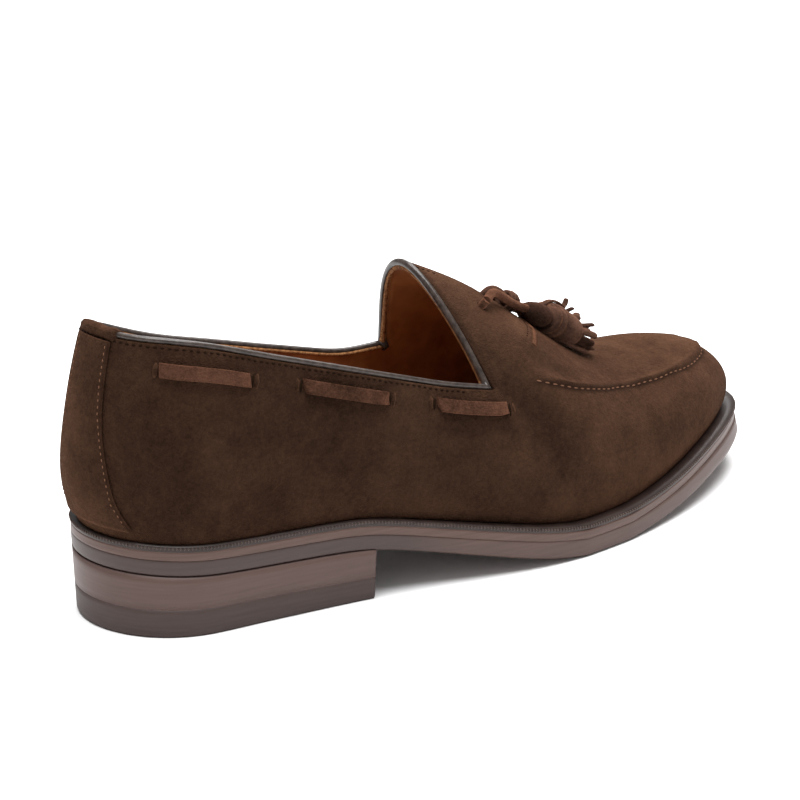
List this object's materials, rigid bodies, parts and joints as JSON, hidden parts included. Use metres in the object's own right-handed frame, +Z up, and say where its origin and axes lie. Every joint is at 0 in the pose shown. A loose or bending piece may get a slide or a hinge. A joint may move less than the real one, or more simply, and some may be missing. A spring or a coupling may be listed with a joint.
{
  "type": "tassel loafer",
  "caption": "Right-foot suede tassel loafer with a raised apron seam, a lace woven through the collar, bound topline, and a leather sole with a low stacked heel.",
  "frame": {"origin": "on the floor, under the middle of the shoe's plan", "axes": "+X from the heel to the toe, +Y to the inner side of the foot, +Z up"},
  "size_m": [0.3068, 0.102, 0.11],
  "materials": {
    "suede": "napped dark brown suede",
    "lace_suede": "rough mid-brown suede",
    "binding": "smooth, semi-gloss",
    "sole_leather": "stained and waxed edge",
    "sole_dark": "stained and waxed edge",
    "heel_rubber": "matt",
    "lining": "smooth tan lining leather"
  },
  "bodies": {
    "root": {"outsole": "sole_dark", "midsole": "sole_leather", "welt": "sole_dark", "heel_lift": "sole_leather", "heel_top_piece": "heel_rubber", "insole": "lining", "upper": "suede", "collar_binding": "binding", "back_strip": "suede", "lace_outer_1": "lace_suede", "lace_outer_2": "lace_suede", "lace_outer_3": "lace_suede", "lace_inner_1": "lace_suede", "lace_inner_2": "lace_suede", "lace_inner_3": "lace_suede", "lace_tie_1": "lace_suede", "lace_tie_2": "lace_suede", "lace_knot": "lace_suede", "tassel_1": "lace_suede", "tassel_2": "lace_suede"}
  },
  "joints": []
}
